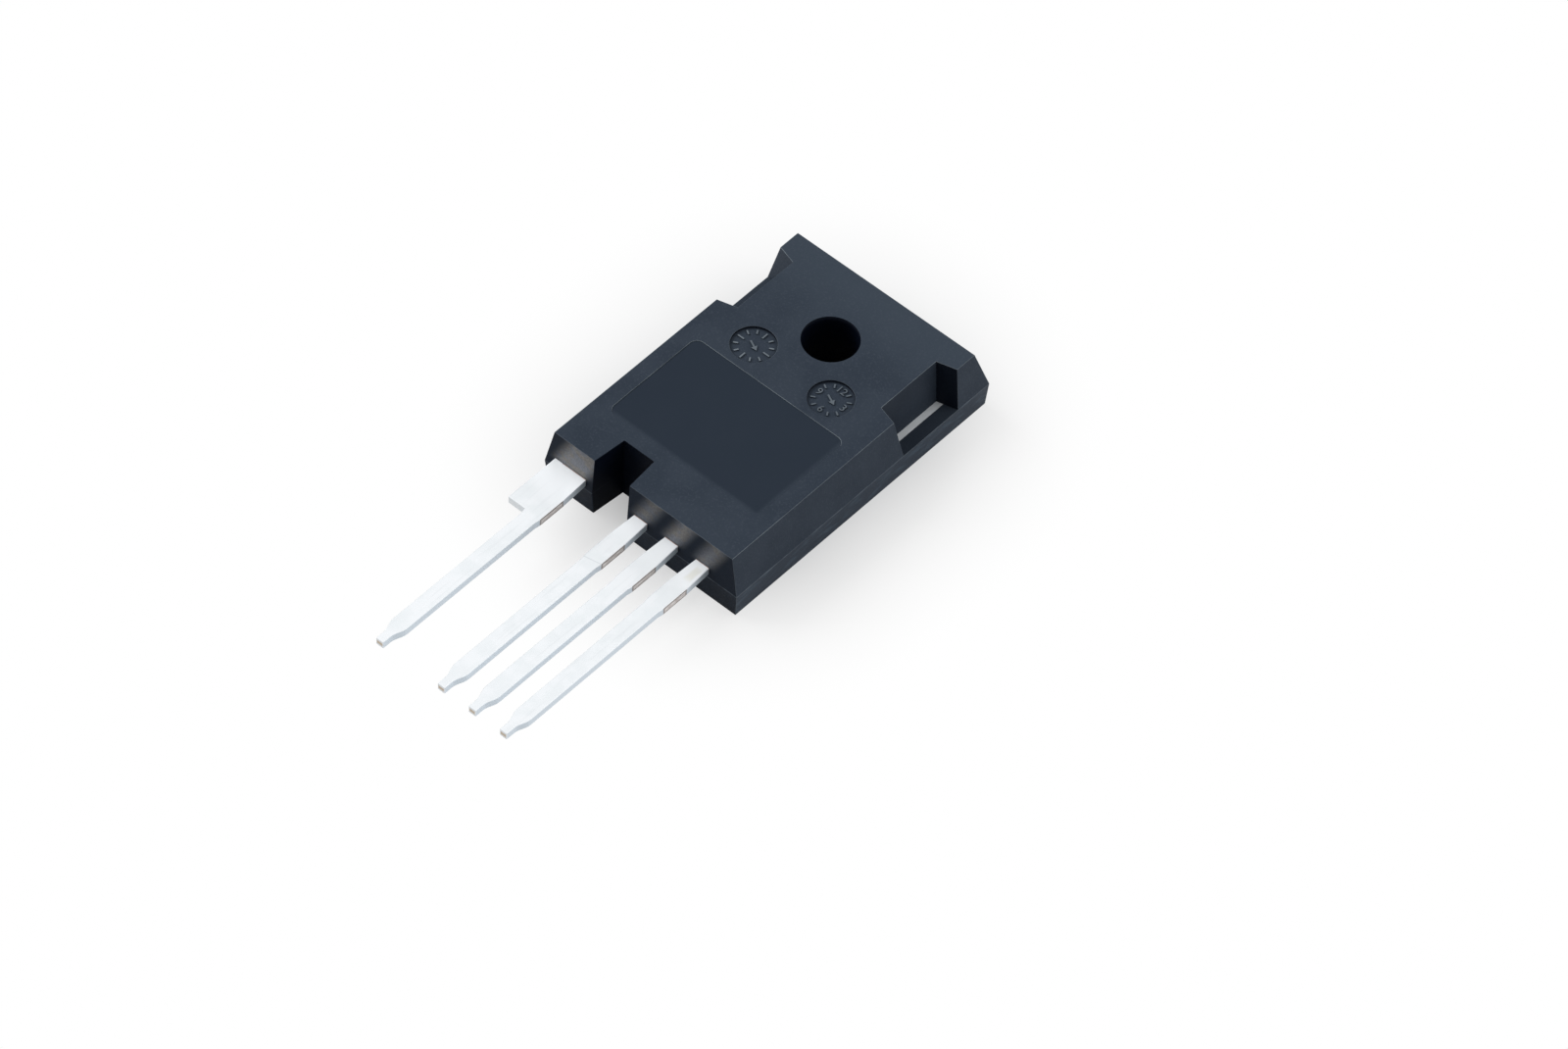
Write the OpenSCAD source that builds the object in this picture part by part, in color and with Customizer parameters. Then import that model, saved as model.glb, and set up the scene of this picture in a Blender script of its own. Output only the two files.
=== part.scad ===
// Power transistor in a flat moulded package with four leads in a row.
// It lies on its back: Z = 0 is the bare copper pad, +Z is the front face, and the
// leads point along -Y. The origin is the centre of the screw hole on the back.

/* [Moulding] */
// Width of the moulding at the parting line
body_w = 15.88; // [15:0.02:18]
// Length of the moulding at the parting line
body_l = 23.5; // [22.5:0.1:26]
// Thickness of the whole package
body_t = 5; // [4.6:0.05:6]
// Draft of the long sides above the parting line, in degrees
side_draft = 11.6; // [2:0.1:14]
// Draft of the tab end above the parting line, in degrees
tab_end_draft = 17; // [2:0.5:20]
// Draft of the lead end above the parting line, in degrees
lead_end_draft = 3.4; // [1:0.1:8]
// Draft of the sides and the lead end below the parting line, in degrees
lower_draft = 5; // [0.5:0.5:8]
// Draft of the tab end below the parting line, in degrees
tab_end_lower_draft = 1.5; // [0.5:0.5:8]

/* [Screw hole] */
// Diameter of the screw hole
hole_d = 3.6; // [3:0.05:4.2]
// From the centre of the hole to the tab end of the moulding
hole_to_end = 6.09; // [5.8:0.01:7]
// Diameter of the hole's mouth on the front face
hole_mouth_d = 3.75; // [3.65:0.05:4.3]
// Depth over which the mouth narrows to the hole
hole_mouth_l = 1.5; // [0.5:0.1:2.5]
// Outer diameter of the plastic collar that lines the hole in the copper
collar_d = 7.2; // [5.4:0.1:8]

/* [Side notches] */
// Width left between the two side notches, at the front face
waist_w = 11.86; // [11:0.02:13]
// Length of a side notch along its inner wall, at the front face
side_notch_l = 5.14; // [4:0.02:6]
// From the screw hole's centre line to the middle of the side notches
side_notch_y = 0.57; // [0:0.01:1]
// Angle at which a side notch opens outwards, in degrees
side_notch_flare = 16; // [0:1:25]
// Draft of the walls of a side notch, in degrees
side_notch_draft = 10.5; // [2:0.5:12]

/* [Creepage slot] */
// Width of the slot between leads 1 and 2 at its mouth
slot_mouth_w = 2.93; // [2:0.01:3]
// Width of the slot at its inner end
slot_end_w = 2.46; // [1.6:0.01:2.8]
// Depth of the slot from the lead end of the moulding
slot_depth = 2.64; // [1.5:0.01:2.8]

/* [Front face] */
// Width of the shallow label panel
panel_w = 12.3; // [8:0.1:13]
// Length of the label panel
panel_l = 8.1; // [5:0.1:9]
// From the screw hole to the middle of the label panel
panel_from_hole = 9.64; // [9:0.01:11]
// Corner radius of the label panel
panel_r = 0.6; // [0.2:0.1:2]
// Depth of the label panel
panel_depth = 0.05; // [0.02:0.01:0.2]
// Diameter of the two round ejector marks
ejector_d = 3; // [2:0.1:3.4]
// From the centre line to each ejector mark
ejector_x = 3.2; // [2.6:0.05:3.8]
// From the screw hole to the ejector marks, towards the leads
ejector_from_hole = 3.57; // [3.4:0.01:3.8]
// Depth of the ejector marks
ejector_depth = 0.2; // [0.05:0.05:0.4]

/* [Heat spreader] */
// Width of the copper heat spreader
tab_w = 13.9; // [13.3:0.05:14.2]
// Length of the heat spreader
tab_l = 16.9; // [16:0.05:17.2]
// Thickness of the heat spreader, which is also the height of the parting line
tab_t = 2; // [1.6:0.02:2.2]
// From the tab end of the moulding to the heat spreader
tab_border = 1.14; // [0.8:0.02:1.4]
// Corner radius of the heat spreader
tab_r = 0.6; // [0.2:0.1:1.5]

/* [Leads] */
// Thickness of the leads
lead_t = 0.58; // [0.4:0.01:0.7]
// Height of the underside of the leads above the back
lead_z = 2.25; // [2.2:0.01:2.6]
// Spacing of the lead positions; the one between leads 1 and 2 is left out
lead_pitch = 2.54; // [2.4:0.01:2.6]
// Length of the leads outside the moulding
lead_l = 17.7; // [14:0.1:22]
// Width of a lead
lead_w = 1.17; // [0.9:0.01:1.3]
// Width of a lead where it leaves the moulding
lead_root_w = 1.09; // [0.8:0.01:1.3]
// Width of a lead where the dam bar was cut away
dam_w = 1.3; // [1.1:0.01:1.5]
// From the moulding to the cut of the dam bar
dam_from = 2.1; // [1:0.1:3]
// Length of the dam bar's cut along the lead
dam_l = 2.1; // [1:0.1:2.5]
// Width of a lead at its tip
tip_w = 0.58; // [0.4:0.01:0.8]
// Length of the straight tip
tip_l = 0.65; // [0.3:0.05:1]
// Length of the taper above the tip
taper_l = 1.15; // [0.8:0.05:2]
// From the centre of lead 1 to the outer side of its wide shoulder
shoulder_x = 2.02; // [1:0.01:2.2]
// Length of the shoulder outside the moulding
shoulder_l = 4.17; // [2:0.01:6]

/* [Bond posts] */
// Length of the bond posts inside the moulding
post_l = 1.35; // [1.1:0.05:1.4]
// From the heat spreader to the bond posts
post_gap = 0.8; // [0.5:0.05:0.9]
// Gap between neighbouring bond posts
post_space = 0.45; // [0.3:0.05:0.8]
// From the centre of lead 2 to the outer side of the source post
source_post_x = 2.9; // [2.8:0.05:3.2]

/* [Chip] */
// Width and length of the square chip
chip_w = 5.2; // [5:0.1:6]
// Thickness of the chip
chip_t = 0.2; // [0.1:0.01:0.4]
// From the screw hole to the middle of the chip
chip_from_hole = 7.9; // [7.8:0.05:8.4]
// Thickness of the solder under the chip
solder_t = 0.08; // [0.03:0.01:0.15]
// Rim of solder round the chip
solder_rim = 0.15; // [0:0.05:0.4]

/* [Bond wires] */
// Diameter of the source wires
source_wire_d = 0.38; // [0.2:0.01:0.5]
// Diameter of the driver-source and gate wires
signal_wire_d = 0.2; // [0.1:0.01:0.25]
// Spacing of the source wires
wire_pitch = 1; // [0.7:0.05:1.1]
// Length of a wire's foot on its pad
foot_l = 0.7; // [0.4:0.05:0.8]
// Bend radius of a wire above its feet
wire_bend = 0.8; // [0.5:0.05:1.2]
// Mean slope of a wire's loop at its ends, in degrees
wire_slope = 45; // [30:1:55]
// From the middle of the chip to the source wires' feet, towards the hole
source_foot_y = 0.2; // [0:0.05:0.5]
// From the near edge of the source post to the ends of the source wires
source_foot_in = 0.9; // [0.8:0.05:1.1]
// From the near edge of the other posts to the ends of their wires
signal_foot_in = 1; // [0.8:0.05:1.2]
// From the middle of the chip to the driver-source wire's foot, towards +X
driver_foot_x = 1.6; // [1.2:0.1:2.2]
// From the middle of the chip to the gate wire's foot, towards +X
gate_foot_x = 2.25; // [1.8:0.05:2.4]
// From the middle of the chip to the gate wire's foot, towards the leads
gate_foot_y = 1.9; // [1.2:0.1:2]
// From the middle of the gate post to the gate wire's end, towards -X
gate_end_shift = 0.2; // [0:0.05:0.3]

/* [Hidden] */
$fn = 64;

// How far a cutting tool runs past the surface that it cuts
over = 1;
// A length that is more than any size of the part
far = 60;

tab_end_y = hole_to_end;
lead_end_y = tab_end_y - body_l;
upper_t = body_t - tab_t;
spreader_top_y = tab_end_y - tab_border;
spreader_low_y = spreader_top_y - tab_l;
post_y = spreader_low_y - post_gap;
tip_y = lead_end_y - lead_l;
lead_top_z = lead_z + lead_t;
chip_y = -chip_from_hole;
chip_z = tab_t + solder_t;
chip_top_z = chip_z + chip_t;

drain_x = -2 * lead_pitch;
source_x = 0;
driver_x = lead_pitch;
gate_x = 2 * lead_pitch;
post_half_w = (lead_pitch - post_space) / 2;

// Source wires in use, one node each
source_wires = 4;
// Sides of a bond wire's section
wire_sides = 8;
// Largest step of heading between two rings of a bond wire, in degrees
wire_step = 12;
// Length of the step from the dam bar's width to the lead's width
dam_step = 0.4;
// Length of the bend that lifts lead 1 from the heat spreader to the level of the leads
joggle_l = 1.2;
// Steps of the curve along each side of a lead's taper
taper_steps = 6;

// Width of a lead on either side of its centre, from inside the moulding to the tip
lead_profile = concat(
    [
        [lead_root_w / 2, lead_end_y],
        [dam_w / 2, lead_end_y - dam_from],
        [dam_w / 2, lead_end_y - dam_from - dam_l],
        [lead_w / 2, lead_end_y - dam_from - dam_l - dam_step]
    ],
    [
        for (i = [0:taper_steps])
            let (t = i / taper_steps, ease = (1 + cos(180 * t)) / 2)
                [tip_w / 2 + (lead_w - tip_w) / 2 * ease, tip_y + tip_l + taper_l * (1 - t)]
    ],
    [[tip_w / 2, tip_y]]
);

// A plate with rounded corners, centred on X and Y
module rounded_plate(w, l, r, h) {
    linear_extrude(h) {
        square([w - 2 * r, l], center = true);
        square([w, l - 2 * r], center = true);
        for (x = [-1, 1], y = [-1, 1])
            translate([x * (w / 2 - r), y * (l / 2 - r)])
                circle(r);
    }
}

// The moulding's outer form: a cross section along Y meets a side profile along X
module body_blank() {
    half_w = body_w / 2;
    top_w = half_w - upper_t * tan(side_draft);
    low_w = half_w - tab_t * tan(lower_draft);
    intersection() {
        rotate([90, 0, 0])
            linear_extrude(far * 2, center = true)
                polygon([
                    [-low_w, 0], [low_w, 0], [half_w, tab_t],
                    [top_w, body_t], [-top_w, body_t], [-half_w, tab_t]
                ]);
        rotate([90, 0, 90])
            linear_extrude(far, center = true)
                polygon([
                    [lead_end_y + tab_t * tan(lower_draft), 0],
                    [tab_end_y - tab_t * tan(tab_end_lower_draft), 0],
                    [tab_end_y, tab_t],
                    [tab_end_y - upper_t * tan(tab_end_draft), body_t],
                    [lead_end_y + upper_t * tan(lead_end_draft), body_t],
                    [lead_end_y, tab_t]
                ]);
    }
}

// One wall of a side notch: the space on its open side, leaning back by the draft
module notch_end(turn) {
    rotate([0, 0, turn])
        rotate([-side_notch_draft, 0, 0])
            translate([-far / 2, -far, -far / 2])
                cube(far);
}

// The space of the side notch at +X, down to the top of the heat spreader
module side_notch() {
    intersection() {
        translate([waist_w / 2, side_notch_y, body_t])
            rotate([0, -side_notch_draft, 0])
                translate([0, -far / 2, -far / 2])
                    cube(far);
        translate([waist_w / 2, side_notch_y + side_notch_l / 2, body_t])
            notch_end(side_notch_flare);
        translate([waist_w / 2, side_notch_y - side_notch_l / 2, body_t])
            mirror([0, 1, 0])
                notch_end(side_notch_flare);
        translate([0, -far / 2, tab_t])
            cube(far);
    }
}

// The slot that lengthens the surface path between leads 1 and 2
module creepage_slot() {
    mouth = slot_mouth_w / 2;
    inner = slot_end_w / 2;
    translate([(drain_x + source_x) / 2, lead_end_y, -over])
        linear_extrude(body_t + 2 * over)
            polygon([
                [-mouth, -over], [mouth, -over], [mouth, 0],
                [inner, slot_depth], [-inner, slot_depth], [-mouth, 0]
            ]);
}

// The screw hole, whose mouth widens a little towards the front face
module screw_hole() {
    widening = (hole_mouth_d - hole_d) / hole_mouth_l;
    translate([0, 0, -over])
        cylinder(d = hole_d, h = body_t + 2 * over);
    translate([0, 0, body_t - hole_mouth_l])
        cylinder(d1 = hole_d, d2 = hole_mouth_d + widening * over, h = hole_mouth_l + over);
}

// The shallow marks of the front face: the label panel and two ejector pins
module face_marks() {
    translate([0, -panel_from_hole, body_t - panel_depth])
        rounded_plate(panel_w, panel_l, panel_r, over);
    for (side = [-1, 1])
        translate([side * ejector_x, -ejector_from_hole, body_t - ejector_depth])
            cylinder(d = ejector_d, h = over);
}

// Outline of one lead from inner_y inside the moulding to its tip, centred on X = 0
module lead_outline(inner_y) {
    side = concat([[lead_root_w / 2, inner_y]], lead_profile);
    polygon(concat(side, [for (i = [len(side) - 1:-1:0]) [-side[i][0], side[i][1]]]));
}

// A flat lead at X = x with its bond post, which reaches from x - left to x + right
module lead_with_post(x, left, right) {
    translate([x, 0, lead_z]) {
        linear_extrude(lead_t)
            lead_outline(post_y - post_l / 2);
        translate([-left, post_y - post_l, 0])
            cube([left + right, post_l, lead_t]);
    }
}

module drain_tab_and_lead() {
    root_left = -shoulder_x;
    root_right = lead_root_w / 2;
    bend_left = max(root_left, -tab_w / 2 - drain_x);
    flat_y = spreader_low_y - joggle_l;
    color("#b9bdbf") {
        // Heat spreader, with the round opening for the plastic collar
        difference() {
            translate([0, spreader_top_y - tab_l / 2, 0])
                rounded_plate(tab_w, tab_l, tab_r, tab_t);
            translate([0, 0, -over])
                cylinder(d = collar_d, h = tab_t + 2 * over);
        }
        // Bend that lifts the lead off the heat spreader
        translate([drain_x + bend_left, 0, 0])
            rotate([90, 0, 90])
                linear_extrude(root_right - bend_left)
                    polygon([
                        [spreader_low_y + over, tab_t], [spreader_low_y, tab_t],
                        [flat_y, lead_top_z], [flat_y, lead_z],
                        [spreader_low_y, tab_t - lead_t], [spreader_low_y + over, tab_t - lead_t]
                    ]);
        // Lead 1 with its wide shoulder
        translate([drain_x, 0, lead_z]) {
            linear_extrude(lead_t)
                lead_outline(flat_y);
            translate([root_left, lead_end_y - shoulder_l, 0])
                cube([root_right - root_left, shoulder_l + flat_y - lead_end_y, lead_t]);
        }
    }
}

module source_lead() {
    color("#dfe3e5")
        lead_with_post(source_x, source_post_x, post_half_w);
}

module driver_source_lead() {
    color("#dfe3e5")
        lead_with_post(driver_x, post_half_w, post_half_w);
}

module gate_lead() {
    color("#dfe3e5")
        lead_with_post(gate_x, post_half_w, post_half_w);
}

module chip() {
    color("#6d7480")
        translate([-chip_w / 2, chip_y - chip_w / 2, chip_z])
            cube([chip_w, chip_w, chip_t]);
}

module die_attach_solder() {
    pad_w = chip_w + 2 * solder_rim;
    color("#8f9498")
        translate([-pad_w / 2, chip_y - pad_w / 2, tab_t])
            cube([pad_w, pad_w, solder_t]);
}

// Points of an arc in the XZ plane, given as [x, z, heading], for headings from h1 to h2.
// side is 1 where the arc turns upwards, with its centre above, and -1 where it turns down.
function arc_points(centre, r, h1, h2, side) =
    let (n = ceil(abs(h2 - h1) / wire_step))
        [
            for (i = [1:n])
                let (h = h1 + (h2 - h1) * i / n)
                    [centre[0] + side * r * sin(h), centre[1] - side * r * cos(h), h]
        ];

// A bond wire's path over a distance, from a foot at low_z to one at high_z. Two tight bends
// lift it off its feet and one wide arc joins them. With k the sum of the tight and the wide
// radius, the three arcs span the gap and the rise exactly.
function wire_path(distance, low_z, high_z) =
    let (
        span = distance - 2 * foot_l,
        rise = high_z - low_z,
        tilt = atan2(rise, span),
        k = norm([span, rise]) / (2 * sin(wire_slope)),
        up = wire_slope + tilt,
        down = wire_slope - tilt,
        peak = [foot_l + k * sin(up), low_z + wire_bend - k * cos(up)]
    )
        concat(
            [[0, low_z, 0], [foot_l, low_z, 0]],
            arc_points([foot_l, low_z + wire_bend], wire_bend, 0, up, 1),
            arc_points(peak, k - wire_bend, up, -down, -1),
            arc_points([foot_l + span, high_z + wire_bend], wire_bend, -down, 0, 1),
            [[distance, high_z, 0]]
        );

// A bond wire from a foot that starts at a, on the chip, to one that ends at b, on a post.
// Its section is an octagon of width d, so that its feet lie flat on their pads.
module bond_wire(a, b, d) {
    path = wire_path(norm(b - a), chip_top_z + d / 2, lead_top_z + d / 2);
    turn = 360 / wire_sides;
    r = d / 2 / cos(turn / 2);
    last = (len(path) - 1) * wire_sides;
    points = [
        for (p = path, j = [0:wire_sides - 1])
            let (across = r * cos(turn * (j + 0.5)), above = r * sin(turn * (j + 0.5)))
                [p[0] - above * sin(p[2]), across, p[1] + above * cos(p[2])]
    ];
    walls = [
        for (i = [0:len(path) - 2], j = [0:wire_sides - 1])
            let (k = (j + 1) % wire_sides, ring = i * wire_sides)
                [ring + j, ring + wire_sides + j, ring + wire_sides + k, ring + k]
    ];
    ends = [
        [for (j = [0:wire_sides - 1]) j],
        [for (j = [wire_sides - 1:-1:0]) last + j]
    ];
    translate([a[0], a[1], 0])
        rotate([0, 0, atan2(b[1] - a[1], b[0] - a[0])])
            polyhedron(points, concat(walls, ends));
}

module source_wire(i) {
    chip_x = (i - source_wires / 2) * wire_pitch;
    post_x = (i + 0.5 - source_wires / 2) * wire_pitch - (source_post_x - post_half_w) / 2;
    color("#d5d7d8")
        bond_wire(
            [chip_x, chip_y + source_foot_y],
            [post_x, post_y - source_foot_in],
            source_wire_d
        );
}

module driver_source_wire() {
    color("#d5d7d8")
        bond_wire([driver_foot_x, chip_y], [driver_x, post_y - signal_foot_in], signal_wire_d);
}

module gate_wire() {
    color("#d5d7d8")
        bond_wire(
            [gate_foot_x, chip_y - gate_foot_y],
            [gate_x - gate_end_shift, post_y - signal_foot_in],
            signal_wire_d
        );
}

// The epoxy fills everything round the copper, the chip and the wires
module mold_body() {
    color("#3b4049")
        difference() {
            body_blank();
            side_notch();
            mirror([1, 0, 0])
                side_notch();
            creepage_slot();
            screw_hole();
            face_marks();
            drain_tab_and_lead();
            source_lead();
            driver_source_lead();
            gate_lead();
            die_attach_solder();
            chip();
            for (i = [0:source_wires - 1])
                source_wire(i);
            driver_source_wire();
            gate_wire();
        }
}

mold_body();
drain_tab_and_lead();
source_lead();
driver_source_lead();
gate_lead();
die_attach_solder();
chip();
source_wire(0);  // source_wire_1
source_wire(1);  // source_wire_2
source_wire(2);  // source_wire_3
source_wire(3);  // source_wire_4
driver_source_wire();
gate_wire();
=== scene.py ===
import math

import bmesh
import bpy
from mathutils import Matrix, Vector


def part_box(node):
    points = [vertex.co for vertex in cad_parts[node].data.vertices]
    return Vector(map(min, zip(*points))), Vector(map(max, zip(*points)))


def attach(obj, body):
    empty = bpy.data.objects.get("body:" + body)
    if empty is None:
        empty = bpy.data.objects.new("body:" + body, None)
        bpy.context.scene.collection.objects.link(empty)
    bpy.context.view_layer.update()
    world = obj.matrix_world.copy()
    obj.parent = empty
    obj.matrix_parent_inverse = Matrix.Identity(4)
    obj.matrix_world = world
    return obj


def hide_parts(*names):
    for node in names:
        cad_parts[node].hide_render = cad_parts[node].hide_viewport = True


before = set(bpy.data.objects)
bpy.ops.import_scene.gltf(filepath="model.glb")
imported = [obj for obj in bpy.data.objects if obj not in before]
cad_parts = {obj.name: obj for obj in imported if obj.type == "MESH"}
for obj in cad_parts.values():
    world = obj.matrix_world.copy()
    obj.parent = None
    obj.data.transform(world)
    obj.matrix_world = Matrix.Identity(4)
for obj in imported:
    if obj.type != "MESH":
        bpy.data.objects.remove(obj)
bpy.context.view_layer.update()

# Lead frame: the drain's heat spreader with its lead, and three more leads.
# Copper strip, stamped in one frame, plated with matt tin after moulding, then
# cut free of the bar that held the leads together and trimmed at the tips.
mm = 0.001
merge_distance = 0.0005 * mm
flat_angle = math.radians(0.4)
corner_angle = math.radians(20)
lead_edge_round = 0.05 * mm
lead_edge_steps = 2
lead_pitch = 2.54 * mm
lead_end_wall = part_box("mold_body")[0].y
lead_cut = lead_end_wall + 0.2 * mm
lead_low, lead_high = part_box("gate_lead")
lead_middle_z = (lead_low.z + lead_high.z) / 2
tab_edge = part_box("drain_tab_and_lead")[1].x - 0.5 * mm
dam_middle = lead_end_wall - 3.15 * mm
dam_half = 1.05 * mm
smear_middle_x = 5.25 * mm
smear_middle_y = -18.35 * mm
smear_half_w = 0.26 * mm
smear_half_l = 0.62 * mm
scratch_y = -21.75 * mm
tip_core_half_w = 0.25 * mm
tip_core_half_h = 0.14 * mm
tin_grain = 0.16 * mm
tin_cloud = 1.1 * mm
rolling_line = 0.22 * mm
shear_line = 0.09 * mm


def merged_copy(node):
    """A CAD node's mesh with its loose triangles merged and its flat faces made whole."""
    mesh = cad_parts[node].data.copy()
    for name in ("custom_normal", "sharp_edge", "sharp_face"):
        if name in mesh.attributes:
            mesh.attributes.remove(mesh.attributes[name])
    form = bmesh.new()
    form.from_mesh(mesh)
    bpy.data.meshes.remove(mesh)
    bmesh.ops.remove_doubles(form, verts=form.verts, dist=merge_distance)
    bmesh.ops.dissolve_limit(
        form, angle_limit=flat_angle, verts=form.verts, edges=form.edges
    )
    for face in form.faces:
        face.smooth = False
    form.faces.layers.float.new("edge")
    return form


def round_edges(form, wanted, width, steps):
    """Bevels the wanted sharp edges and marks the faces that it makes."""
    edges = [
        e
        for e in form.edges
        if e.is_manifold and e.calc_face_angle(0) > corner_angle and wanted(e)
    ]
    made = bmesh.ops.bevel(
        form,
        geom=edges,
        offset=width,
        offset_type="OFFSET",
        affect="EDGES",
        segments=steps,
        profile=0.5,
        material=-1,
        clamp_overlap=True,
    )
    edge = form.faces.layers.float["edge"]
    for face in made["faces"]:
        face[edge] = 1.0


def finished(form, name, material):
    """The piece made of this form, on the one body of the object."""
    mesh = bpy.data.meshes.new(name)
    form.to_mesh(mesh)
    form.free()
    mesh.materials.clear()
    mesh.materials.append(material)
    piece = bpy.data.objects.new(name, mesh)
    bpy.context.scene.collection.objects.link(piece)
    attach(piece, "root")
    return piece


def linear(code):
    """A colour written as sRGB hex, in linear light."""
    parts = [int(code[i : i + 2], 16) / 255 for i in (1, 3, 5)]
    return tuple(
        c / 12.92 if c <= 0.04045 else ((c + 0.055) / 1.055) ** 2.4 for c in parts
    ) + (1.0,)


def add(tree, kind, inputs=(), out=None, **settings):
    """One shader node with its settings and links.

    Its inputs are a row in the node's own order, or are named. A socket is linked and
    anything else is set. With out, that output is given back in place of the node.
    """
    made = tree.nodes.new("ShaderNode" + kind)
    for name, value in settings.items():
        setattr(made, name, value)
    given = inputs.items() if isinstance(inputs, dict) else enumerate(inputs)
    for socket, value in given:
        if isinstance(value, bpy.types.NodeSocket):
            tree.links.new(value, made.inputs[socket])
        else:
            made.inputs[socket].default_value = value
    return made if out is None else made.outputs[out]


def new_material(name):
    """An empty material, with its node tree, its surface shader and its coordinates."""
    material = bpy.data.materials.new(name)
    material.use_nodes = True
    tree = material.node_tree
    tree.nodes.clear()
    shader = add(tree, "BsdfPrincipled")
    add(tree, "OutputMaterial", {"Surface": shader.outputs["BSDF"]})
    place = add(tree, "TexCoord").outputs
    return material, tree, shader, place


def apart(tree, value, middle):
    """How far a value lies from a middle, to either side."""
    off = add(tree, "Math", (value, middle), "Value", operation="SUBTRACT")
    return add(tree, "Math", (off,), "Value", operation="ABSOLUTE")


def graded(tree, *steps):
    """The product of several steps, each of them a share or a row.

    A row is a value, its low and high, and what it becomes there (0 and 1 if not said).
    It changes softly in between and is held outside.
    """
    result = None
    for step in steps:
        if isinstance(step, tuple):
            step = add(tree, "MapRange", step, "Result", interpolation_type="SMOOTHSTEP")
        if result is None:
            result = step
        else:
            result = add(tree, "Math", (result, step), "Value", operation="MULTIPLY")
    return result


def coated(tree, colour, *coats):
    """A colour under coats, each of them a share or a row as in graded, and a colour."""
    for share, coat in coats:
        under, over = (linear(c) if isinstance(c, str) else c for c in (colour, coat))
        colour = add(
            tree, "Mix", {0: graded(tree, share), 6: under, 7: over}, 2, data_type="RGBA"
        )
    return colour


# Matt tin over copper: a pale, slightly uneven grey-white metal with a fine grain.
# It gives the eye soft bright faces, brown sheared sides where the holding bar was
# cut off, copper-coloured tips, and bare brown copper inside the moulding.
# The tin's grain and the lines of rolling and shearing are finer in the real one, and
# are drawn as coarse as they need to show.
tin, tree, shader, place = new_material("matt_tin_plated_copper")
at = place["Object"]
x, y, z = add(tree, "SeparateXYZ", (at,)).outputs
face_x, face_y, face_z = add(tree, "SeparateXYZ", (place["Normal"],)).outputs
sideways = apart(tree, face_x, 0.0)
endways = apart(tree, face_y, 0.0)
from_axis = apart(tree, x, 0.0)
from_middle = apart(tree, z, lead_middle_z)
on_top = (face_z, 0.7, 0.9)
on_side = (sideways, 0.6, 0.85)
past_end_wall = (y, lead_end_wall, lead_end_wall + 0.06 * mm)
off_back = (z, 0.03 * mm, 0.06 * mm)
grain = add(tree, "TexNoise", {"Vector": at, "Scale": 1 / tin_grain, "Detail": 3.0}, "Fac")
cloud = add(tree, "TexNoise", {"Vector": at, "Scale": 1 / tin_cloud, "Detail": 4.0}, "Fac")
along = add(tree, "Mapping", {"Vector": at, "Scale": (1.0, 0.05, 1.0)}, "Vector")
rolled = add(
    tree, "TexNoise", {"Vector": along, "Scale": 1 / rolling_line, "Detail": 2.0}, "Fac"
)
torn = add(tree, "Mapping", {"Vector": at, "Scale": (1.0, 0.2, 1.0)}, "Vector")
sheared = add(
    tree, "TexNoise", {"Vector": torn, "Scale": 1 / shear_line, "Detail": 3.0}, "Fac"
)
ragged = add(
    tree, "Math", (cloud, 0.12 * mm, -0.06 * mm), "Value", operation="MULTIPLY_ADD"
)

# Where the bar was sheared off: a brown rim round a paler, torn middle.
ragged_y = add(tree, "Math", (y, ragged), "Value", operation="ADD")
along_dam = apart(tree, ragged_y, dam_middle)
dam_cut = graded(
    tree,
    on_side,
    (along_dam, dam_half - 0.03 * mm, dam_half + 0.03 * mm, 1.0, 0.0),
)
dam_rim = add(
    tree,
    "Math",
    (
        graded(tree, (along_dam, dam_half - 0.16 * mm, dam_half - 0.06 * mm)),
        graded(tree, (from_middle, 0.1 * mm, 0.22 * mm)),
    ),
    "Value",
    operation="MAXIMUM",
)

# The trimmed tips show the copper core. Each lead's centre is a whole number of
# pitches from the middle, so one folded distance serves all four.
folded_x = add(tree, "Math", (x, lead_pitch / 2), "Value", operation="PINGPONG")
from_centre = add(tree, "Math", (folded_x, ragged), "Value", operation="ADD")
tip_cut = graded(
    tree,
    (endways, 0.7, 0.9),
    (y, lead_low.y + 0.02 * mm, lead_low.y + 0.06 * mm, 1.0, 0.0),
    (from_centre, tip_core_half_w - 0.06 * mm, tip_core_half_w, 1.0, 0.0),
    (from_middle, tip_core_half_h - 0.04 * mm, tip_core_half_h, 1.0, 0.0),
)

# A tan smear of resin near the root of the gate's lead, and a scratch across the source's.
smear_shares = [
    add(tree, "Math", (apart(tree, value, middle), half), "Value", operation="DIVIDE")
    for value, middle, half in (
        (x, smear_middle_x, smear_half_w),
        (y, smear_middle_y, smear_half_l),
    )
]
off_smear = add(tree, "Math", smear_shares, "Value", operation="MAXIMUM")
uneven_smear = add(tree, "Math", (off_smear, cloud), "Value", operation="ADD")
smear = graded(tree, (uneven_smear, 1.0, 1.9, 0.35, 0.0), on_top)
leaning_y = add(tree, "Math", (x, -0.2, y), "Value", operation="MULTIPLY_ADD")
scratch = graded(
    tree,
    (apart(tree, leaning_y, scratch_y), 0.02 * mm, 0.05 * mm, 1.0, 0.0),
    (from_axis, lead_pitch / 4, lead_pitch / 3, 1.0, 0.0),
    on_top,
    0.3,
)

# Inside the moulding the copper is bare, apart from the strips that the side notches
# uncover: they are tinned too, under a thin bleed of resin.
inside = graded(
    tree,
    past_end_wall,
    off_back,
    (from_axis, tab_edge, tab_edge + 0.04 * mm, 1.0, 0.0),
)
outside = add(tree, "Math", (1.0, inside), "Value", operation="SUBTRACT")
bled = graded(
    tree,
    past_end_wall,
    off_back,
    outside,
    (cloud, 0.2, 0.6, 0.75, 1.0),
)

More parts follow.
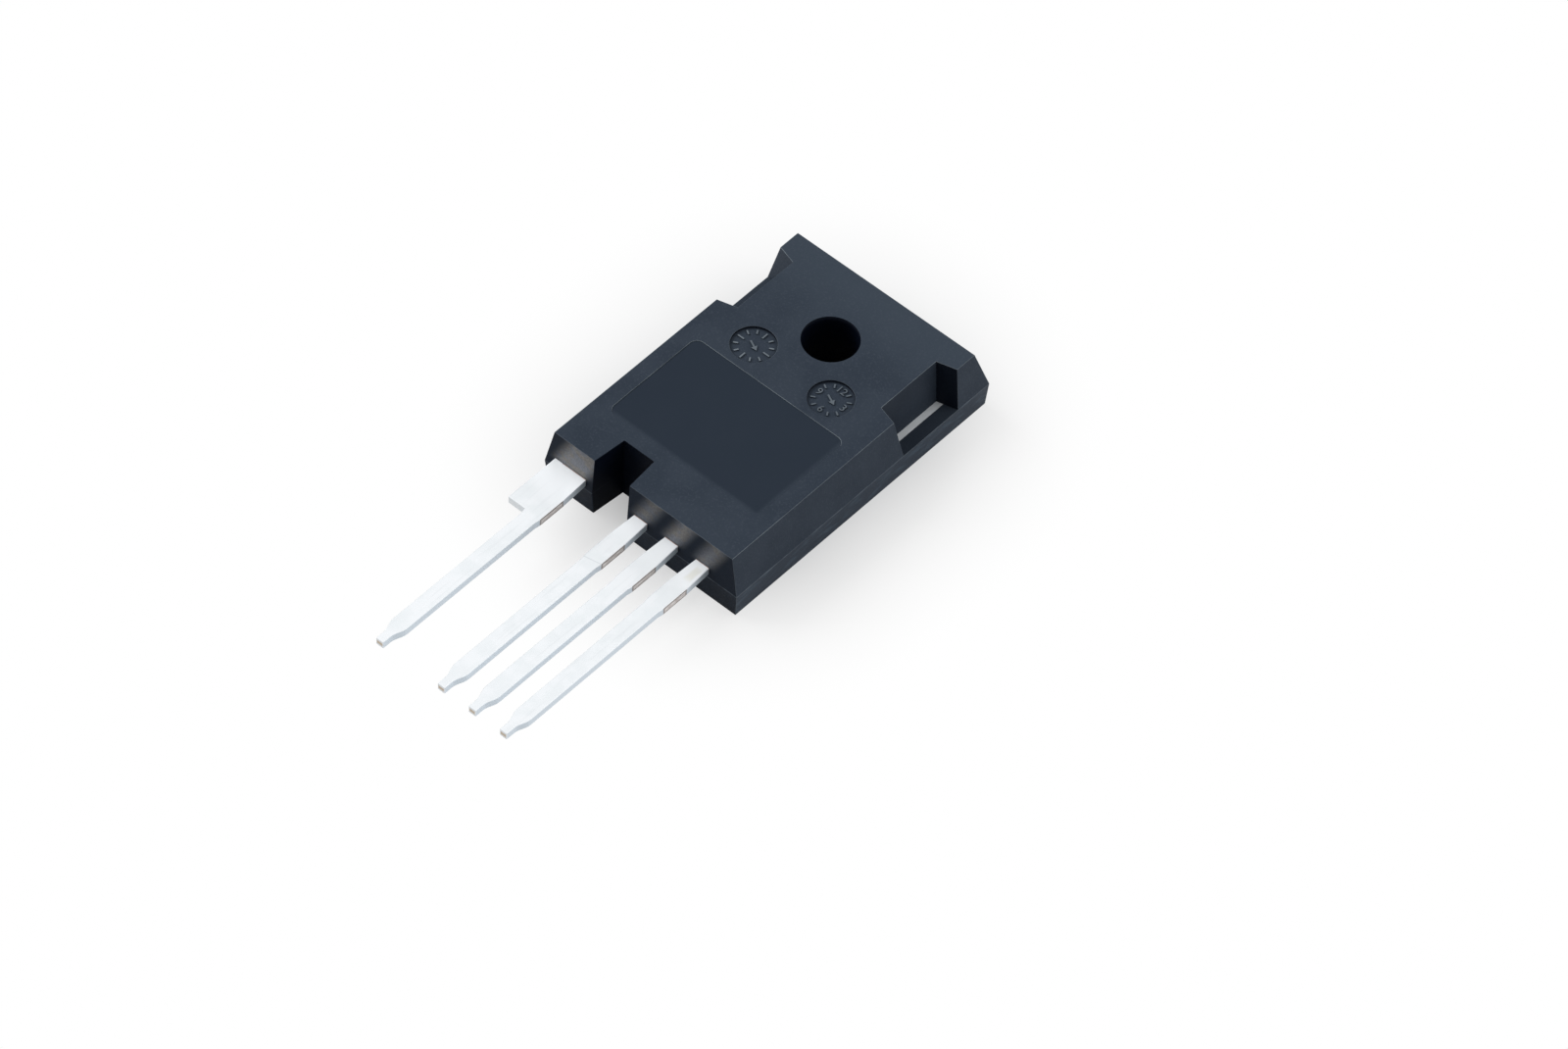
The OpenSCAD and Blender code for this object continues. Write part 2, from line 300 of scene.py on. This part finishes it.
# The tops are painted brightest by the body, a painted light, and the sides that face +X carry
# painted shade there. Of the rounded edges, those turned to -X carry painted shade and those
# turned to +X a painted highlight.
painted_light_by_root = graded(tree, (y, dam_middle, lead_end_wall, 0.0, 0.85), on_top)
painted_shade_by_root = graded(
    tree, (y, dam_middle + dam_half, lead_end_wall, 0.0, 0.8), (face_x, 0.6, 0.85)
)
cut_edge = add(tree, "Attribute", out="Fac", attribute_name="edge")
painted_shade_on_edge = graded(tree, cut_edge, (face_x, -0.6, -0.2, 0.7, 0.0))
painted_highlight_on_edge = graded(tree, cut_edge, (face_x, 0.2, 0.5, 0.0, 0.7))
plated = coated(
    tree,
    "#d7dadc",
    ((cloud, 0.35, 0.65), "#dddfe1"),
    ((rolled, 0.55, 0.75, 0.0, 0.18), "#c4c7ca"),
    ((grain, 0.6, 0.8, 0.0, 0.14), "#bfc3c6"),
    (painted_light_by_root, "#f0f2f4"),
    (on_side, "#d2d9df"),
    (painted_shade_by_root, "#8f989f"),
    (painted_shade_on_edge, "#a9aeb2"),
    (painted_highlight_on_edge, "#eef0f2"),
    (smear, "#d2cfc0"),
    (scratch, "#aab0b4"),
)
torn_copper = coated(
    tree,
    "#c4bdba",
    ((sheared, 0.35, 0.65), "#e4e1df"),
    (graded(tree, dam_rim, 0.75), "#8b827e"),
)
bare_copper = coated(tree, "#9a6a50", (cloud, "#c99473"))
colour = coated(
    tree,
    plated,
    (graded(tree, dam_cut, 0.95), torn_copper),
    (graded(tree, tip_cut, 0.8), "#c0b09b"),
    (bled, "#ecf0f3"),
    (inside, bare_copper),
)
rough = add(
    tree,
    "Math",
    (dam_cut, 0.12, graded(tree, (cloud, 0.3, 0.7, 0.76, 0.82))),
    "Value",
    operation="MULTIPLY_ADD",
)
lines = add(
    tree, "Mix", {0: dam_cut, 2: graded(tree, rolled, 0.5), 3: graded(tree, sheared, 4.0)}, 0
)
height = add(tree, "Math", (grain, 0.6, lines), "Value", operation="MULTIPLY_ADD")
relief = add(
    tree, "Bump", {"Strength": 0.2, "Distance": 0.002 * mm, "Height": height}, "Normal"
)
metallic = add(tree, "Math", (1.0, bled), "Value", operation="SUBTRACT")
tree.links.new(colour, shader.inputs["Base Color"])
tree.links.new(rough, shader.inputs["Roughness"])
tree.links.new(metallic, shader.inputs["Metallic"])
tree.links.new(relief, shader.inputs["Normal"])

for node in ("drain_tab_and_lead", "source_lead", "driver_source_lead", "gate_lead"):
    form = merged_copy(node)
    bmesh.ops.bisect_plane(
        form,
        geom=form.verts[:] + form.edges[:] + form.faces[:],
        dist=merge_distance,
        plane_co=(0, lead_cut, 0),
        plane_no=(0, 1, 0),
    )
    round_edges(
        form,
        lambda e: all(v.co.y < lead_cut + merge_distance for v in e.verts)
        and any(v.co.y < lead_cut - merge_distance for v in e.verts),
        lead_edge_round,
        lead_edge_steps,
    )
    piece = finished(form, "plated_" + node, tin)
    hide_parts(node)

# Die attach: a thin layer of soft solder under the chip, with a narrow rim round it.
# It is melted on the heat spreader as a preform and sets with a dull, grainy skin.
solder_grain = 0.05 * mm
solder, tree, shader, place = new_material("reflowed_soft_solder")
at = place["Object"]
grain = add(
    tree, "TexNoise", {"Vector": at, "Scale": 1 / solder_grain, "Detail": 4.0}, "Fac"
)
skin = coated(tree, "#8f9294", (grain, "#b9bbbb"))
rough = graded(tree, (grain, 0.3, 0.7, 0.35, 0.5))
relief = add(
    tree, "Bump", {"Strength": 0.5, "Distance": 0.004 * mm, "Height": grain}, "Normal"
)
tree.links.new(skin, shader.inputs["Base Color"])
tree.links.new(rough, shader.inputs["Roughness"])
tree.links.new(relief, shader.inputs["Normal"])
shader.inputs["Metallic"].default_value = 1.0
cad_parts["die_attach_solder"].material_slots[0].material = solder

# Chip: a square of silicon carbide sawn from a wafer, soldered by its metal back.
# Its front is an aluminium pad in a dark passivated border, which shows as a frame.
# The cells under the pad are finer, and are drawn as coarse as they need to show.
chip_border = 0.3 * mm
chip_cell = 0.04 * mm
chip_low, chip_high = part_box("chip")
chip_middle = (chip_low + chip_high) / 2
chip_half = (chip_high.x - chip_low.x) / 2
pad_edge = chip_half - chip_border
chip_front, tree, shader, place = new_material("metallised_chip")
at = place["Object"]
x, y, z = add(tree, "SeparateXYZ", (at,)).outputs
from_middle = add(
    tree,
    "Math",
    (apart(tree, x, chip_middle.x), apart(tree, y, chip_middle.y)),
    "Value",
    operation="MAXIMUM",
)
pad = graded(tree, (from_middle, pad_edge, pad_edge + 0.1 * chip_border, 1.0, 0.0))
cells = add(tree, "TexNoise", {"Vector": at, "Scale": 1 / chip_cell, "Detail": 2.0}, "Fac")
metal = coated(tree, "#c2c4c6", (cells, "#dcdddd"))
tree.links.new(coated(tree, "#23262b", (pad, metal)), shader.inputs["Base Color"])
tree.links.new(graded(tree, (cells, 0.3, 0.7, 0.25, 0.4)), shader.inputs["Roughness"])
tree.links.new(pad, shader.inputs["Metallic"])
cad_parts["chip"].material_slots[0].material = chip_front

# Bond wires: four thick source wires, one driver source wire and one gate wire.
# Drawn aluminium, bright with fine lines along it, pressed flat by ultrasound at both
# feet. The lines are finer in the real one, and are drawn as coarse as they need to show.
draw_line = 0.03 * mm
wire, tree, shader, place = new_material("drawn_aluminium_wire")
along = add(
    tree, "Mapping", {"Vector": place["Object"], "Scale": (1.0, 0.08, 1.0)}, "Vector"
)
drawn = add(tree, "TexNoise", {"Vector": along, "Scale": 1 / draw_line, "Detail": 2.0}, "Fac")
bright = coated(tree, "#cfd1d3", (drawn, "#e6e7e8"))
tree.links.new(bright, shader.inputs["Base Color"])
tree.links.new(graded(tree, (drawn, 0.3, 0.7, 0.22, 0.36)), shader.inputs["Roughness"])
shader.inputs["Metallic"].default_value = 1.0
for node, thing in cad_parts.items():
    if node.endswith("_wire") or "_wire_" in node:
        thing.material_slots[0].material = wire

# Moulding: the black body pressed round the lead frame in a two-part tool.
# Epoxy filled with fine silica; the tool is spark-eroded, so faces are matt, and
# the ground label panel and ejector pins leave smoother places in the front.
body_low, body_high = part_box("mold_body")
front_z = body_high.z
parting_z = 2.0 * mm
body_edge_round = 0.025 * mm
body_edge_steps = 2
panel_near_y = -5.59 * mm
panel_far_y = -13.69 * mm
panel_right_x = 6.15 * mm
panel_edge_round = 0.018 * mm
panel_soft_rim = 0.4 * mm
hole_wall = 2.2 * mm
mark_radius = 1.5 * mm
mark_x = 3.2 * mm
mark_y = -3.57 * mm
mark_depth = 0.2 * mm
mark_edge_round = 0.03 * mm
slot_x = -2.54 * mm
slot_half = 1.48 * mm
slot_inner_y = -14.7 * mm
notch_low_y = -2.1 * mm
notch_high_y = 3.2 * mm
notch_waist = 5.8 * mm
spark_grain = 0.13 * mm
resin_cloud = 3.0 * mm
silica_fleck = 0.2 * mm
scuff_length = 0.7 * mm
painted_light_starts = -1.0 * mm
painted_light_full = 4.5 * mm
reflection_lean = 0.5
reflection_soft = 0.6 * mm
root_half = 0.6 * mm
shoulder_half = 1.28 * mm
shoulder_x = -5.82 * mm

# Matt blue-black resin: grain that just shows, faint lighter clouds, pale edges that are
# partly rubbed and partly painted highlight, a pale parting line, and a darker, smoother label
# panel. The spark grain and the silica's flecks are finer in the real one, and are drawn as
# coarse as they need to show.
epoxy, tree, shader, place = new_material("spark_eroded_moulded_epoxy")
at = place["Object"]
x, y, z = add(tree, "SeparateXYZ", (at,)).outputs
face_x, face_y, face_z = add(tree, "SeparateXYZ", (place["Normal"],)).outputs
grain = add(tree, "TexNoise", {"Vector": at, "Scale": 1 / spark_grain, "Detail": 3.0}, "Fac")
cloud = add(tree, "TexNoise", {"Vector": at, "Scale": 1 / resin_cloud, "Detail": 3.0}, "Fac")
drawn = add(tree, "Mapping", {"Vector": at, "Scale": (1.0, 0.5, 1.5)}, "Vector")
streak = add(
    tree, "TexNoise", {"Vector": drawn, "Scale": 1 / scuff_length, "Detail": 5.0}, "Fac"
)
fleck = add(tree, "TexVoronoi", {"Vector": at, "Scale": 1 / silica_fleck}, "Distance")
level = apart(tree, face_z, 0.0)
upright = graded(tree, (level, 0.5, 0.7, 1.0, 0.0))
steep = graded(tree, (level, 0.3, 0.6, 1.0, 0.0))
smooth_and_shaded = add(tree, "Attribute", out="Fac", attribute_name="insert_smooth_and_shade")
panel = graded(
    tree,
    add(tree, "Attribute", out="Fac", attribute_name="label_panel"),
    (x, panel_right_x - panel_soft_rim, panel_right_x, 1.0, 0.0),
    (y, panel_far_y, panel_far_y + panel_soft_rim),
)
smooth = add(tree, "Math", (panel, smooth_and_shaded), "Value", operation="MAXIMUM")
eroded = add(tree, "Math", (1.0, smooth), "Value", operation="SUBTRACT")

# Pale wear: on the rounded edges, where it is partly painted highlight, along the parting
# line, most of all by the lead end's corners, and as streaks on the low walls under that line.
rubbed_and_highlit = graded(
    tree,
    add(tree, "Attribute", out="Fac", attribute_name="edge"),
    (cloud, 0.35, 0.65, 0.5, 1.0),
)
end_wall = graded(
    tree,
    upright,
    (face_y, -0.9, -0.6, 1.0, 0.0),
    (y, lead_end_wall + 0.5 * mm, lead_end_wall + 1.0 * mm, 1.0, 0.0),
)
parting = graded(
    tree,
    upright,
    (apart(tree, z, parting_z), 0.02 * mm, 0.07 * mm, 1.0, 0.0),
    (streak, 0.4, 0.65, 0.2, 0.6),
    (smooth_and_shaded, 0.0, 0.3, 1.0, 0.05),
    (end_wall, 0.0, 1.0, 1.0, 0.5),
    (y, lead_end_wall + 1.0 * mm, lead_end_wall + 5.0 * mm, 1.6, 1.0),
)
low_wall = graded(tree, upright, (z, parting_z - 0.1 * mm, parting_z, 1.0, 0.0))
scuffed = graded(tree, low_wall, (streak, 0.47, 0.68), 0.55)

# Painted light: the front is a little paler towards the tab end.
painted_light_at_tab_end = graded(tree, (face_z, 0.9, 0.98), (y, painted_light_starts, painted_light_full, 0.0, 0.8))

# A painted reflection: the bright leads are mirrored softly in the end wall above them,
# leaning to +X.
above_lead = add(tree, "Math", (z, lead_high.z), "Value", operation="SUBTRACT")
leaning_x = add(
    tree, "Math", (above_lead, -reflection_lean, x), "Value", operation="MULTIPLY_ADD"
)
mirrored = 0.0
for middle, half, strength in (
    (shoulder_x, shoulder_half, 1.0),
    (0.0, root_half, 0.61),
    (lead_pitch, root_half, 0.85),
    (2 * lead_pitch, root_half, 0.68),
):
    off_lead = apart(tree, leaning_x, middle)
    over_lead = graded(tree, (off_lead, half - reflection_soft, half + reflection_soft, strength, 0.0))
    mirrored = add(tree, "Math", (mirrored, over_lead), "Value", operation="MAXIMUM")
painted_lead_reflection = graded(
    tree,
    mirrored,
    end_wall,
    (z, lead_high.z - 0.3 * mm, lead_high.z + 0.3 * mm),
    (z, lead_high.z + 0.6 * mm, front_z, 1.0, 0.8),
    (grain, 0.35, 0.65, 0.75, 1.0),
)
painted_reflection_colour = coated(tree, "#898c93", ((streak, 0.4, 0.6), "#918e8a"))
resin = coated(
    tree,
    "#38414d",
    ((cloud, 0.35, 0.65), "#3e4753"),
    # Painted light towards the tab end.
    (painted_light_at_tab_end, "#46505c"),
    (graded(tree, panel, 0.9), "#2e3743"),
    (graded(tree, eroded, (grain, 0.5, 0.72, 0.0, 0.4)), "#505864"),
    (graded(tree, eroded, (fleck, 0.05, 0.14, 0.5, 0.0)), "#5b636d"),
    # Painted shade: the low walls under the parting line are darker and bluer.
    (graded(tree, low_wall, 0.45), "#2e3a49"),
    (scuffed, "#4b5b6a"),
    # Painted shade: the end wall by the leads is made nearly black.
    (graded(tree, end_wall, 0.9), "#0b1624"),
    # Painted reflection of the leads in the end wall.
    (painted_lead_reflection, painted_reflection_colour),
    # Painted shade: the walls of the hole, the slot, the recesses and the right notch are
    # dark.
    (smooth_and_shaded, "#080d18"),
    # Pale edges, partly rubbed and partly painted highlight.
    (rubbed_and_highlit, "#8d979f"),
    (parting, "#75808a"),
)
rough = add(
    tree,
    "Math",
    (steep, -0.15, graded(tree, (grain, 0.3, 0.7, 0.5, 0.6))),
    "Value",
    operation="MULTIPLY_ADD",
)
depth = graded(tree, (eroded, 0.0, 1.0, 0.1, 0.6))
relief = add(
    tree, "Bump", {"Strength": depth, "Distance": 0.014 * mm, "Height": grain}, "Normal"
)
tree.links.new(resin, shader.inputs["Base Color"])
tree.links.new(rough, shader.inputs["Roughness"])
tree.links.new(relief, shader.inputs["Normal"])
shader.inputs["IOR"].default_value = 1.5
shader.inputs["Specular IOR Level"].default_value = 0.05

# The moulding's forms: its edges are rounded, except in the hole and against the metal. How
# pale each edge is, by rubbing and painted highlight, and how smooth the tool's ground inserts
# leave a face and how much painted shade it carries, is written on the faces.
body_edge_wear_and_highlight = 0.8
corner_edge_wear = 0.35
lead_end_wear = 0.3
mark_edge_wear = 0.25
left_notch_wear = 0.15
notch_side_shade = 0.35
notch_end_shade = 0.9
left_notch_shade = 0.05
flush = 0.01 * mm
close = 0.05 * mm
nearby = 0.1 * mm
upper_z = 4.0 * mm
outer_x = body_high.x - 0.79 * mm
outer_tab_y = body_high.y - 1.09 * mm
outer_lead_y = body_low.y + 0.26 * mm
lead_mouth_y = body_low.y + 0.41 * mm
lead_end_reach = lead_end_wall + 0.3 * mm
lead_end_half = 7.0 * mm
panel_drop = 0.03 * mm
highlit_rim_y = panel_near_y - 0.4 * mm
highlit_rim_x = -panel_right_x + 0.2 * mm


def near_mark(co):
    """Whether a point lies in one of the two ejector recesses."""
    return any(
        math.hypot(co.x - side * mark_x, co.y - mark_y) < mark_radius + close
        for side in (-1, 1)
    )


def in_panel(co):
    """Whether a point lies on the label panel or its rim."""
    return (
        abs(co.x) < panel_right_x + close
        and panel_far_y - close < co.y < panel_near_y + close
        and co.z > front_z - nearby
    )


def in_hole(co):
    """Whether a point lies in the screw hole."""
    return math.hypot(co.x, co.y) < hole_wall


def in_slot(co):
    """Whether a point lies in the slot between leads 1 and 2."""
    return abs(co.x - slot_x) < slot_half + nearby and co.y < slot_inner_y + nearby


def in_notch(co):
    """Whether a point lies in one of the two clip notches in the long sides."""
    return notch_low_y < co.y < notch_high_y and abs(co.x) > notch_waist and co.z > nearby


def on_front(e):
    """Whether an edge lies in the plane of the front."""
    return all(v.co.z > front_z - flush for v in e.verts)


def outside_edge(e):
    """Whether an edge is one of the moulding's outside, apart from those against the metal."""
    ends = [v.co for v in e.verts]
    if any(near_mark(c) or in_hole(c) for c in ends) or all(in_panel(c) for c in ends):
        return False
    upper = any(c.z > upper_z for c in ends)
    outer = all(
        abs(c.x) > outer_x or c.y > outer_tab_y or c.y < outer_lead_y for c in ends
    )
    by_lead = all(
        c.y < lead_mouth_y and lead_low.z - close < c.z < lead_high.z + close for c in ends
    )
    return (upper or outer) and not by_lead and e.is_convex


form = merged_copy("mold_body")
form.faces.layers.float.new("label_panel")
form.faces.layers.float.new("insert_smooth_and_shade")
round_edges(form, outside_edge, body_edge_round, body_edge_steps)
round_edges(
    form,
    lambda e: on_front(e) and all(near_mark(v.co) for v in e.verts),
    mark_edge_round,
    1,
)
round_edges(
    form,
    lambda e: on_front(e) and all(in_panel(v.co) for v in e.verts),
    panel_edge_round,
    1,
)
label = form.faces.layers.float["label_panel"]
insert_shade_layer = form.faces.layers.float["insert_smooth_and_shade"]
edge = form.faces.layers.float["edge"]
for face in form.faces:
    middle = face.calc_center_median()
    flat = abs(face.normal.z) > 0.9
    rounded = face[edge] > 0
    in_bore = in_hole(middle) or near_mark(middle)
    at_front = middle.z > front_z - nearby
    at_lead_end = middle.y < lead_end_reach and abs(middle.x) < lead_end_half
    if in_panel(middle):
        face[label] = 1.0 if flat and middle.z < front_z - panel_drop else 0.0
        # Painted highlight: the rim's walls on the tab side and the -X side are pale.
        highlit_rim = middle.y > highlit_rim_y or middle.x < highlit_rim_x
        face[edge] = 1.0 if highlit_rim and not flat else 0.0
    elif rounded and in_slot(middle):
        face[edge] = 0.0
    elif rounded and at_lead_end:
        face[edge] = lead_end_wear
    elif rounded and in_notch(middle) and face.normal.x < -0.3 and at_front:
        face[edge] = left_notch_wear
    elif rounded and abs(face.normal.z) < 0.35:
        face[edge] = corner_edge_wear
    elif rounded:
        face[edge] = mark_edge_wear if near_mark(middle) else body_edge_wear_and_highlight
    # The walls of the hole, the recesses and the slot are left smooth, and carry painted
    # shade.
    elif not flat and (in_bore or in_slot(middle)):
        face[insert_shade_layer] = 1.0
    # Painted shade in the notches: the right notch's walls are dark, the one facing -Y most;
    # the left notch's walls barely.
    elif in_notch(middle) and not at_front:
        painted_shade = notch_end_shade if face.normal.y < -0.5 else notch_side_shade
        face[insert_shade_layer] = painted_shade if middle.x > 0 else left_notch_shade
    face.smooth = abs(face.normal.z) < 0.5 and in_bore
piece = finished(form, "moulded_body", epoxy)
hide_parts("mold_body")

# Ejector pin marks: the tool's pins leave a date dial in each recess, raised a little
# from its floor: twelve plain ticks in one, plain clock numbers with ticks between them
# in the other, each round an arrow. They are engraved in the pins' ends.
mark_floor = front_z - mark_depth
figure_height = 0.08 * mm
figure_sunk = 0.02 * mm
figure_painted_glint = 0.85
hours = 12
dial_radius = 1.3 * mm
dial_turn = math.radians(-25)
tick_width = 0.1 * mm
tick_length = 0.32 * mm
quarter_tick_length = 0.5 * mm
number_ring = 0.98 * mm
number_size = 0.76 * mm
number_steps = 4
arrow_length = 0.9 * mm
arrow_head = 0.36 * mm
arrow_head_width = 0.42 * mm
arrow_shaft_width = 0.12 * mm


def bar(start, end, width):
    """The outline of a straight bar along X."""
    return [(start, -width / 2), (end, -width / 2), (end, width / 2), (start, width / 2)]


def arrow():
    """The outline of an arrow along X, centred on the recess."""
    tail = -arrow_length / 2
    point = arrow_length / 2
    neck = point - arrow_head
    shaft = arrow_shaft_width / 2
    wing = arrow_head_width / 2
    lower = [(tail, -shaft), (neck, -shaft), (neck, -wing)]
    upper = [(px, -py) for px, py in reversed(lower)]
    return lower + [(point, 0)] + upper


def raised_figure(form, outline, centre, turn):
    """Stands a flat outline up from a recess's floor, turned about the recess's centre."""
    foot = mark_floor - figure_sunk
    corners = [form.verts.new((px, py, foot)) for px, py in outline]
    base = form.faces.new(corners)
    grown = bmesh.ops.extrude_face_region(form, geom=[base])["geom"]
    raised = [v for v in grown if isinstance(v, bmesh.types.BMVert)]
    bmesh.ops.translate(form, verts=raised, vec=(0, 0, figure_height + figure_sunk))
    turned = corners + raised
    bmesh.ops.rotate(
        form, verts=turned, cent=(0, 0, 0), matrix=Matrix.Rotation(turn, 3, "Z")
    )
    bmesh.ops.translate(form, verts=turned, vec=(*centre, 0))


def add_number(form, number, centre, turn):
    """Adds a raised number on the ring round a centre, upright at the given place."""
    curve = bpy.data.curves.new("dial_number", "FONT")
    curve.body = str(number)
    curve.size = number_size
    curve.align_x = "CENTER"
    curve.align_y = "CENTER"
    curve.resolution_u = number_steps
    curve.extrude = (figure_height + figure_sunk) / 2
    holder = bpy.data.objects.new("dial_number", curve)
    mesh = bpy.data.meshes.new_from_object(holder)
    before = len(form.verts)
    form.from_mesh(mesh)
    form.verts.ensure_lookup_table()
    made = form.verts[before:]
    middle = (
        centre[0] + number_ring * math.cos(turn),
        centre[1] + number_ring * math.sin(turn),
        mark_floor + (figure_height - figure_sunk) / 2,
    )
    bmesh.ops.translate(form, verts=made, vec=middle)
    bpy.data.objects.remove(holder)
    bpy.data.curves.remove(curve)
    bpy.data.meshes.remove(mesh)


form = bmesh.new()
for layer in ("edge", "label_panel", "insert_smooth_and_shade"):
    form.faces.layers.float.new(layer)
for hour in range(hours):
    quarter = hour % (hours // 4) == 0
    length = quarter_tick_length if quarter else tick_length
    turn = math.radians(90 - 360 / hours * hour)
    tick = bar(dial_radius - length, dial_radius, tick_width)
    raised_figure(form, tick, (-mark_x, mark_y), turn)
    if quarter:
        add_number(form, hour or hours, (mark_x, mark_y), turn)
    else:
        raised_figure(form, tick, (mark_x, mark_y), turn)
for side in (-1, 1):
    raised_figure(form, arrow(), (side * mark_x, mark_y), dial_turn)
bmesh.ops.remove_doubles(form, verts=form.verts, dist=merge_distance)
bmesh.ops.recalc_face_normals(form, faces=form.faces)
edge = form.faces.layers.float["edge"]
for face in form.faces:
    face.smooth = False
    # Painted glint: the figures' tops are pale.
    face[edge] = figure_painted_glint if face.normal.z > 0.9 else 0.0
piece = finished(form, "ejector_pin_marks", epoxy)

# Studio floor: a wide white sheet that the part lies on. Its paint is plain and matt,
# and away from the part it glows white for the camera and in what is mirrored, so that
# the background is white and the part's own shadow stays.
floor_drop = 0.02 * mm
floor_size = 3.0
glow_starts = -6.0 * mm
glow_full = 11.0 * mm
core_half = 7.5 * mm


def seen_plainly(tree):
    """1 for a ray that comes from the camera, from a mirroring face or through a clear one."""
    paths = add(tree, "LightPath").outputs
    seen = paths["Is Camera Ray"]
    for kind in ("Is Glossy Ray", "Is Transmission Ray"):
        seen = add(tree, "Math", (seen, paths[kind]), "Value", operation="MAXIMUM")
    return seen


floor_paint, tree, shader, place = new_material("white_studio_floor")
shader.inputs["Base Color"].default_value = linear("#f7f7f7")
shader.inputs["Roughness"].default_value = 0.9
shader.inputs["Specular IOR Level"].default_value = 0.0
x, y, z = add(tree, "SeparateXYZ", (place["Object"],)).outputs
middle_y = (body_low.y + body_high.y) / 2
off_sides = []
for off, reach in (
    (apart(tree, x, 0.0), body_high.x),
    (apart(tree, y, middle_y), body_high.y - middle_y),
):
    beyond = add(tree, "Math", (off, reach - core_half), "Value", operation="SUBTRACT")
    off_sides.append(add(tree, "Math", (beyond, 0.0), "Value", operation="MAXIMUM"))
sides = add(tree, "CombineXYZ", off_sides, "Vector")
from_core = add(tree, "VectorMath", (sides,), "Value", operation="LENGTH")
away = add(tree, "Math", (from_core, core_half), "Value", operation="SUBTRACT")
# The glow grows faster for the camera than for what is mirrored in the resin's low walls.
by_camera = add(tree, "LightPath", out="Is Camera Ray")
fall = graded(tree, (by_camera, 0.0, 1.0, 1.5, 0.5))
near_to_far = graded(tree, (away, glow_starts, glow_full))
grown = add(tree, "Math", (near_to_far, fall), "Value", operation="POWER")
glow = add(tree, "Emission", {"Color": linear("#ffffff"), "Strength": 1.0}, "Emission")
share = graded(tree, seen_plainly(tree), grown)
mixed = add(tree, "MixShader", (share, shader.outputs["BSDF"], glow), "Shader")
output = next(n for n in tree.nodes if n.type == "OUTPUT_MATERIAL")
tree.links.new(mixed, output.inputs["Surface"])
form = bmesh.new()
bmesh.ops.create_grid(form, x_segments=1, y_segments=1, size=floor_size / 2)
bmesh.ops.translate(form, verts=form.verts, vec=(0, 0, -floor_drop))
mesh = bpy.data.meshes.new("studio_floor")
form.to_mesh(mesh)
form.free()
mesh.materials.append(floor_paint)
floor = bpy.data.objects.new("studio_floor", mesh)
bpy.context.scene.collection.objects.link(floor)

# Studio surround: white for the camera and in what is mirrored, dimmer as a light.
# Two square soft lamps: a strong one far to the left, a weak one close by on the right.
surround_light = 0.22
world = bpy.data.worlds.new("studio_surround")
bpy.context.scene.world = world
world.use_nodes = True
tree = world.node_tree
tree.nodes.clear()
strength = graded(tree, (seen_plainly(tree), 0.0, 1.0, surround_light, 1.0))
surround = add(
    tree, "Background", {"Color": linear("#ffffff"), "Strength": strength}, "Background"
)
add(tree, "OutputWorld", {"Surface": surround})

# Each lamp has its direction, its distance and side in metres, and its power in watts.
lit_middle = Vector((0, -14.5 * mm, 2.5 * mm))
for name, toward, distance, size, power in (
    ("left_softbox", (-0.8, -0.2, 0.6), 1.0, 0.7, 7.1),
    ("right_softbox", (0.6, 0.55, 0.5), 0.45, 0.35, 0.7),
):
    lamp = bpy.data.lights.new(name, "AREA")
    lamp.shape = "SQUARE"
    lamp.size = size
    lamp.energy = power
    holder = bpy.data.objects.new(name, lamp)
    direction = Vector(toward).normalized()
    holder.location = lit_middle + direction * distance
    holder.rotation_mode = "QUATERNION"
    holder.rotation_quaternion = direction.to_track_quat("Z", "Y")
    bpy.context.scene.collection.objects.link(holder)

# Camera: the photograph's viewpoint, found from the package's standard sizes.
# It stands half a metre off with a long lens, and is rolled a little.
aim = Vector((6.463, -11.4506, 2.5)) * mm
camera_distance = 501.21 * mm
camera_turn = math.radians(39.39)
camera_height = math.radians(50.48)
camera_roll = math.radians(3.056)
camera = bpy.data.cameras.new("photo_camera")
camera.sensor_width = 36.0
camera.lens = 188.4
camera.clip_start = 0.01
camera.clip_end = 10.0
viewer = bpy.data.objects.new("photo_camera", camera)
back = Vector(
    (
        math.sin(camera_turn) * math.cos(camera_height),
        -math.cos(camera_turn) * math.cos(camera_height),
        math.sin(camera_height),
    )
)
level = Vector((0, 0, 1)).cross(back).normalized()
up = back.cross(level)
right = level * math.cos(camera_roll) + up * math.sin(camera_roll)
axes = Matrix((right, back.cross(right), back)).transposed()
viewer.matrix_world = Matrix.Translation(aim + back * camera_distance) @ axes.to_4x4()
bpy.context.scene.collection.objects.link(viewer)
bpy.context.scene.camera = viewer
bpy.context.scene.view_settings.view_transform = "Standard"
